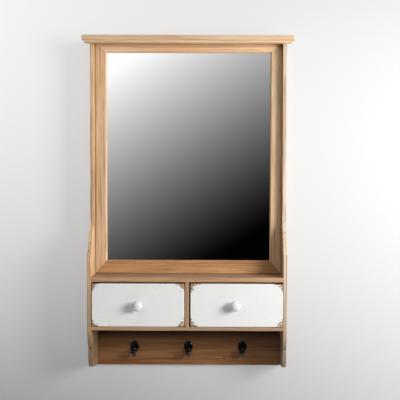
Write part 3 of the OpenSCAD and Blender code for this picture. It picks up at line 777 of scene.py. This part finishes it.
def painted(name, low, high, shift):
    """White paint over fir, with chips that gather at the corners of the front."""
    made, start = finish(name)
    wood_colour, wood_rough, wood_relief = fir_tone(start, 0, (-0.02, low.z - 0.05), shift)
    point = start.point()
    x, y, z = point
    moved = (x + shift, y, z)
    half_x, half_z = (high.x - low.x) / 2, (high.z - low.z) / 2
    from_side = half_x - abs(x - (low.x + half_x))
    from_end = half_z - abs(z - (low.z + half_z))
    edge = from_side.least(from_end)
    corner = from_side + from_end

    def speck(scale, detail=3.0):
        return start.speckle(moved, scale, detail, 0.6)

    worn = corner.rise(0.004, 0.034, 0.62, 0.0) + edge.rise(0.0, 0.0040, 0.12, 0.0)
    chipped = worn + speck(160.0) * 1.7 + speck(430.0) * 0.9 + (y - high.y).rise(-0.002, -0.0005) * 2.0
    chip_start, chip_end = 1.78, 1.82
    bare = chipped.rise(chip_start, chip_end)
    # The dark rim round each chip is painted shade along the paint's broken edge.
    rim = chipped.rise(1.70, chip_start) * chipped.rise(chip_end, 1.92, 1.0, 0.0)
    brushed = start.cloud(start.vector(x * 14.0, y * 30.0, z * 700.0), 3.0)
    dirt = speck(28.0, 4.0).rise(0.45, 0.85) * 0.25 + chipped.rise(1.58, 1.76) * 0.35
    paint = start.mix(white, aged_white, dirt)
    dark_wood = start.mix(wood_colour, rgb(0.13, 0.055, 0.024), speck(260.0).rise(0.48, 0.56, 0.0, 0.85))
    colour = start.mix(start.mix(paint, dark_wood, bare), rgb(0.15, 0.070, 0.032), rim * 0.85)
    rough = (1.0 - bare) * (0.42 + brushed * 0.12) + bare * wood_rough
    relief = (1.0 - bare) * (1.0 + brushed * 0.22) + bare * wood_relief * 0.4
    coat(start, {"Base Color": colour, "Roughness": rough, "Normal": start.bump(relief, 0.00022, 0.9)})
    return made


glaze, start = finish("white_glaze")
pool = start.speckle(start.point(), 160.0)
tone = start.mix(rgb(0.68, 0.68, 0.66), rgb(0.62, 0.62, 0.595), pool)
coat(start, {"Base Color": tone, "Roughness": 0.10 + pool * 0.08, "Normal": start.bump(pool, 0.0001, 0.5),
             "Coat Weight": 0.6, "Coat Roughness": 0.05})

knob_out = 0.023
knob_head = 0.013
knob_rim = 0.0025
knob_neck = 0.0045
knob_foot = 0.0065
foot_ease = 0.0004
foot_height = 0.0015
flare_height = 0.0025
round_steps = 64


def oval_ring(bm, middle, half_x, half_z, y, steps):
    """A ring of points round an axis that runs out from the wall."""
    angles = [2 * math.pi * place / steps for place in range(steps)]
    return [bm.verts.new((middle.x + half_x * math.cos(a), y, middle.z + half_z * math.sin(a)))
            for a in angles]


def knob(low, high):
    """A lathe-turned knob: a foot, a waist and a domed head, drawn round its own axis."""
    radius = (high.x - low.x) / 2
    centre = (low + high) / 2
    neck_z = knob_out - knob_head
    rim_z = neck_z + knob_rim
    rim = [(radius - knob_rim + knob_rim * math.cos(math.radians(a)),
            rim_z + knob_rim * math.sin(math.radians(a))) for a in range(-90, 1, 15)]
    dome = [(radius * math.cos(math.radians(a)),
             rim_z + (knob_head - knob_rim) * math.sin(math.radians(a))) for a in range(6, 90, 6)]
    foot = [(knob_foot - foot_ease, 0.0), (knob_foot, foot_ease), (knob_foot, foot_height - foot_ease),
            (knob_foot - foot_ease, foot_height)]
    flare = [(knob_neck + (knob_foot - 0.0006 - knob_neck) * (1 - t) ** 2, foot_height + flare_height * t)
             for t in (0.2, 0.4, 0.6, 0.8, 1.0)]
    waist = [(knob_neck + 0.0002, neck_z - 0.0015), (knob_neck + 0.0012, neck_z - 0.0003)]
    bm = bmesh.new()
    rings = [oval_ring(bm, centre, distance, distance, high.y - out, round_steps)
             for distance, out in foot + flare + waist + rim + dome]
    band(bm, rings, capped=False)
    tip = bm.verts.new((centre.x, high.y - knob_out, centre.z))
    for place in range(round_steps):
        bm.faces.new((rings[-1][place], rings[-1][(place + 1) % round_steps], tip))
    bm.faces.new(rings[0])
    bmesh.ops.recalc_face_normals(bm, faces=bm.faces)
    return bm


def soften(node, width):
    """Rounds the arrises of a CAD node a little."""
    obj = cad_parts[node]
    joined = obj.modifiers.new("joined", "WELD")
    joined.merge_threshold = 0.00001
    eased = obj.modifiers.new("eased", "BEVEL")
    eased.width = width
    eased.segments = 2
    eased.limit_method = "ANGLE"
    eased.angle_limit = math.radians(50)


box_pale, box_deep = rgb(0.64, 0.46, 0.29), rgb(0.46, 0.28, 0.145)
for name, shift in (("left", 0.0), ("right", 0.37)):
    body = name + "_drawer"
    node = name + "_drawer_front"
    paint = painted(name + "_white_paint", *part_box(node), shift)
    even(show(name + "_painted_front", plain_board(node, 1, 0.0013), paint, body, node))
    node = name + "_drawer_knob"
    smooth_by_angle(show(name + "_glazed_knob", knob(*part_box(node)), glaze, body, node), 50)
    floor_low, floor_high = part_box(name + "_drawer_floor")
    middle = (floor_low.x + floor_high.x) / 2
    side_wood = fir(name + "_fir_drawer_sides", 1, (middle + 0.02, -0.85), 11.0 + shift, box_pale, box_deep)
    back_wood = fir(name + "_fir_drawer_back", 0, (-0.2, -0.81), 12.0 + shift, box_pale, box_deep)
    for part, wood in (("side_left", side_wood), ("side_right", side_wood), ("back", back_wood),
                       ("floor", plywood(name + "_plywood_floor", 2))):
        dress(name + "_drawer_" + part, wood)
        soften(name + "_drawer_" + part, 0.0004)
    dress(name + "_knob_screw", steel)


# The coat hooks. Each is cast in iron and painted black: an oval plate with a raised middle, and a prong
# that leaves it, bends down and out, and rises to a ball.
iron, start = finish("black_iron")
point = start.point()
sand = start.speckle(point, 700.0, 3.0, 0.6)
rubbed = start.speckle(point, 120.0, 3.0).rise(0.62, 0.78)
tone = start.mix(rgb(0.0015, 0.0015, 0.0018), rgb(0.007, 0.006, 0.0055), rubbed)
coat(start, {"Base Color": tone, "Roughness": 0.10 + sand * 0.08, "Specular IOR Level": 0.34,
             "Normal": start.bump(sand, 0.00012, 0.4)})

plate_half = 0.0145
plate_thick = 0.0025
plate_rim = 0.0015
plate_steps = ((0.0, 0.0), (0.0, 0.0008), (0.0004, plate_rim), (0.0011, plate_rim),
               (0.0015, plate_rim + 0.0003), (0.0019, plate_thick - 0.0002), (0.0026, plate_thick))
oval_steps = 56
prong_half = 0.0035
turn_size = 0.006
prong_straight = 0.0065
bend_radius = 0.007
tip_rise = 0.0035
tip_half = 0.00625


def prong_path():
    """Middle line of the prong, as (distance from the rail, height over the root)."""
    quarter = [math.radians(a) for a in range(0, 91, 10)]
    half = [math.radians(a) for a in range(0, 181, 10)]
    turn_points = [(plate_thick + turn_size * math.sin(a), turn_size * (math.cos(a) - 1)) for a in quarter]
    down = turn_points[-1]
    bottom_z = down[1] - prong_straight
    bend_points = [(down[0] + bend_radius * (1 - math.cos(a)), bottom_z - bend_radius * math.sin(a))
                   for a in half]
    end = bend_points[-1]
    return [(0.0005, 0.0)] + turn_points + bend_points + [(end[0], end[1] + tip_rise * share)
                                                         for share in (0.3, 0.6, 1.0)]


def new_tree(name, inputs, result):
    """A geometry-node tree with named inputs, and the function that adds nodes to it. A list of sockets goes
    into one socket that takes several links."""
    tree = bpy.data.node_groups.new(name, "GeometryNodeTree")
    tree.is_modifier = True
    for label, kind in inputs:
        tree.interface.new_socket(name=label, in_out="INPUT", socket_type="NodeSocket" + kind)
    tree.interface.new_socket(name=result, in_out="OUTPUT", socket_type="NodeSocketGeometry")

    def add(kind, settings=None, sockets=None):
        made = tree.nodes.new(kind)
        for key, value in (settings or {}).items():
            setattr(made, key, value)
        for key, value in (sockets or {}).items():
            for each in value if isinstance(value, list) else [value]:
                if isinstance(each, bpy.types.NodeSocket):
                    tree.links.new(each, made.inputs[key])
                else:
                    made.inputs[key].default_value = each
        return made

    return tree, add


def prong_tree():
    """Geometry nodes that draw a round rod along each path and set a ball on its end."""
    tree, add = new_tree("prong_on_path", (("Path", "Geometry"), ("Rod radius", "Float"),
                                           ("Ball radius", "Float"), ("Coat", "Material")), "Hooks")
    given = add("NodeGroupInput").outputs
    line = add("GeometryNodeMeshToCurve", {}, {"Mesh": given["Path"]}).outputs[0]
    ring = add("GeometryNodeCurvePrimitiveCircle", {}, {"Resolution": 20, "Radius": given["Rod radius"]})
    rod = add("GeometryNodeCurveToMesh", {}, {"Curve": line, "Profile Curve": ring.outputs[0],
                                              "Fill Caps": True}).outputs[0]
    tip = add("GeometryNodeCurveEndpointSelection", {}, {"Start Size": 0, "End Size": 1}).outputs[0]
    ball = add("GeometryNodeMeshUVSphere", {}, {"Segments": 28, "Rings": 16, "Radius": given["Ball radius"]})
    balls = add("GeometryNodeInstanceOnPoints", {}, {"Points": line, "Selection": tip,
                                                     "Instance": ball.outputs[0]}).outputs[0]
    both = add("GeometryNodeJoinGeometry", {}, {"Geometry": [rod, balls]}).outputs[0]
    real = add("GeometryNodeRealizeInstances", {}, {"Geometry": both}).outputs[0]
    soft = add("GeometryNodeSetShadeSmooth", {}, {"Geometry": real}).outputs[0]
    black = add("GeometryNodeSetMaterial", {}, {"Geometry": soft, "Material": given["Coat"]}).outputs[0]
    add("NodeGroupOutput", {}, {"Hooks": black})
    return tree


def grow(name, tree, base_mesh, values):
    """Runs a geometry-node tree on a mesh and returns the plain mesh that it makes."""
    source = bpy.data.objects.new(name + "_source", base_mesh)
    bpy.context.scene.collection.objects.link(source)
    nodes = source.modifiers.new("grown", "NODES")
    nodes.node_group = tree
    for item in tree.interface.items_tree:
        if item.in_out == "INPUT" and item.name in values:
            nodes[item.identifier] = values[item.name]
    bpy.context.view_layer.update()
    ready = source.evaluated_get(bpy.context.evaluated_depsgraph_get())
    mesh = bpy.data.meshes.new_from_object(ready)
    source.modifiers.clear()
    bpy.data.objects.remove(source)
    mesh.name = name
    return mesh


def oval_plate(bm, low, high, root_z):
    """The cast plate: a rim, a step and a gently crowned middle."""
    middle = Vector(((low.x + high.x) / 2, 0, root_z))
    half_x = (high.x - low.x) / 2
    rings = [oval_ring(bm, middle, half_x - inset, plate_half - inset, high.y - out, oval_steps)
             for inset, out in plate_steps]
    bmesh.ops.recalc_face_normals(bm, faces=band(bm, rings))


prongs_on_paths = prong_tree()
hook_rail_face = rail_low.y
hook_boxes = {name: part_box("coat_hook_" + name) for name in ("left", "middle", "right")}
for name, (low, high) in hook_boxes.items():
    centre_x = (low.x + high.x) / 2
    root_z = high.z - plate_half
    path_mesh = bpy.data.meshes.new("prong_line")
    points = [(centre_x, hook_rail_face - out, root_z + up) for out, up in prong_path()]
    path_mesh.from_pydata(points, [(place, place + 1) for place in range(len(points) - 1)], [])
    rods = grow("hook_prong_" + name, prongs_on_paths, path_mesh,
                {"Rod radius": prong_half, "Ball radius": tip_half, "Coat": iron})
    bm = bmesh.new()
    bm.from_mesh(rods)
    oval_plate(bm, low, high, root_z)
    hook = show("iron_hook_" + name, bm, iron, "case", "coat_hook_" + name)
    smooth_by_angle(hook, 40)


# The screws. Countersunk steel screws with cross recesses hold the case, the plates and the hooks. Every
# group is grown on its points, each point aimed into the wood.
recess_length = 1.15
recess_width = 0.26
recess_depth = 1.5


def screw_tree():
    """Geometry nodes that set a screw on each point: a cone with a cross cut into it, and a plain shank."""
    tree, add = new_tree("screws_on_points", (
        ("Points", "Geometry"), ("Head radius", "Float"), ("Shank radius", "Float"), ("Head height", "Float"),
        ("Length", "Float"), ("Metal", "Material")), "Screws")

    def times(value, factor):
        return add("ShaderNodeMath", {"operation": "MULTIPLY"}, {0: value, 1: factor}).outputs[0]

    def vector(sockets):
        return add("ShaderNodeCombineXYZ", {}, sockets).outputs[0]

    given = add("NodeGroupInput").outputs
    head = add("GeometryNodeMeshCone", {}, {"Vertices": 28, "Radius Top": given["Shank radius"],
                                            "Radius Bottom": given["Head radius"],
                                            "Depth": given["Head height"]}).outputs[0]
    wide = times(given["Head radius"], recess_length)
    narrow = times(given["Head radius"], recess_width)
    deep = times(given["Head height"], recess_depth)
    arms = [add("GeometryNodeMeshCube", {}, {"Size": vector({"X": x, "Y": y, "Z": deep})}).outputs[0]
            for x, y in ((wide, narrow), (narrow, wide))]
    cut = add("GeometryNodeMeshBoolean", {"operation": "DIFFERENCE"}, {"Mesh 1": head, "Mesh 2": arms})
    shank = add("GeometryNodeMeshCylinder", {}, {"Vertices": 16, "Radius": given["Shank radius"],
                                                 "Depth": given["Length"]}).outputs[0]
    shift = vector({"Z": times(given["Length"], 0.5)})
    rise = vector({"Z": given["Head height"]})
    clear = add("ShaderNodeVectorMath", {"operation": "ADD"}, {0: shift, 1: rise}).outputs[0]
    body = add("GeometryNodeTransform", {}, {"Geometry": shank, "Translation": clear}).outputs[0]
    both = add("GeometryNodeJoinGeometry", {}, {"Geometry": [cut.outputs[0], body]}).outputs[0]
    aim = add("GeometryNodeInputNamedAttribute", {"data_type": "FLOAT_VECTOR"}, {"Name": "aim"}).outputs[0]
    turned = add("FunctionNodeAlignRotationToVector", {"axis": "Z"}, {"Vector": aim}).outputs[0]
    placed = add("GeometryNodeInstanceOnPoints", {}, {"Points": given["Points"], "Instance": both,
                                                      "Rotation": turned}).outputs[0]
    real = add("GeometryNodeRealizeInstances", {}, {"Geometry": placed}).outputs[0]
    metal = add("GeometryNodeSetMaterial", {}, {"Geometry": real, "Material": given["Metal"]}).outputs[0]
    add("NodeGroupOutput", {}, {"Screws": metal})
    return tree


screws_on_points = screw_tree()


def screws(name, places, sizes, metal, node):
    """Places are (point, aim) pairs, and sizes are head radius, shank radius and length."""
    head, shank, length = sizes
    mesh = bpy.data.meshes.new(name + "_points")
    mesh.from_pydata([point for point, aim in places], [], [])
    aims = mesh.attributes.new("aim", "FLOAT_VECTOR", "POINT")
    for place, (point, aim) in enumerate(places):
        aims.data[place].vector = aim
    head_height = head - shank
    grown = grow(name, screws_on_points, mesh, {"Head radius": head, "Shank radius": shank,
                                                "Head height": head_height, "Length": length - head_height,
                                                "Metal": metal})
    piece(name, grown, "case", node)


case_screw = (0.0035, 0.00175, 0.026)
small_screw = (0.0023, 0.0012, 0.010)
proud = 0.00025
board_depth = -shelf_low.y
shelf_mid = (shelf_low.z + shelf_high.z) / 2
under_low, under_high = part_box("bottom_board")
under_mid = (under_low.z + under_high.z) / 2
stile_mid_depth = face_depth - frame_thick / 2
stile_screw_end = 0.040
hanging_low, hanging_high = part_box("hanging_rail")
side_spots = [(board_depth * share, height) for height in (shelf_mid, under_mid) for share in (0.25, 0.75)]
side_spots += [(stile_mid_depth, height) for height in (sight_low + stile_screw_end,
                                                        (sight_low + sight_high) / 2,
                                                        sight_high - stile_screw_end)]
side_spots.append((-hanging_low.y / 2, (hanging_low.z + hanging_high.z) / 2))
side_spots += [(-rail_low.y / 2, rail_low.z + (rail_high.z - rail_low.z) * share) for share in (0.3, 0.75)]
places = [((side * (case_half + proud), -depth, height), (-side, 0, 0))
          for side in (-1, 1) for depth, height in side_spots]
screws("case_side_screws", places, case_screw, steel, "case_screws")

panel_mid = case_half - (panel_high.x - panel_low.x) / 2
places = [((side * panel_mid, -upper_depth * share, crown_high.z), (0, 0, -1))
          for side in (-1, 1) for share in (0.25, 0.75)]
screws("crown_top_screws", places, case_screw, steel, "crown_screws")

plate_low, plate_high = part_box("keyhole_plate_left")
plate_mid = (plate_low.x + plate_high.x) / 2
plate_screw_end = 0.0055
places = [((x, 0.0, z), (0, -1, 0)) for x in (-plate_mid, plate_mid)
          for z in (plate_low.z + plate_screw_end, plate_high.z - plate_screw_end)]
screws("keyhole_plate_screws", places, small_screw, steel, "keyhole_screws")

hook_screw_off = 0.00925
places = [(((low.x + high.x) / 2, hook_rail_face - plate_thick - proud, high.z - plate_half + up), (0, 1, 0))
          for low, high in hook_boxes.values() for up in (-hook_screw_off, hook_screw_off)]
screws("coat_hook_screws", places, small_screw, iron, "hook_screws")
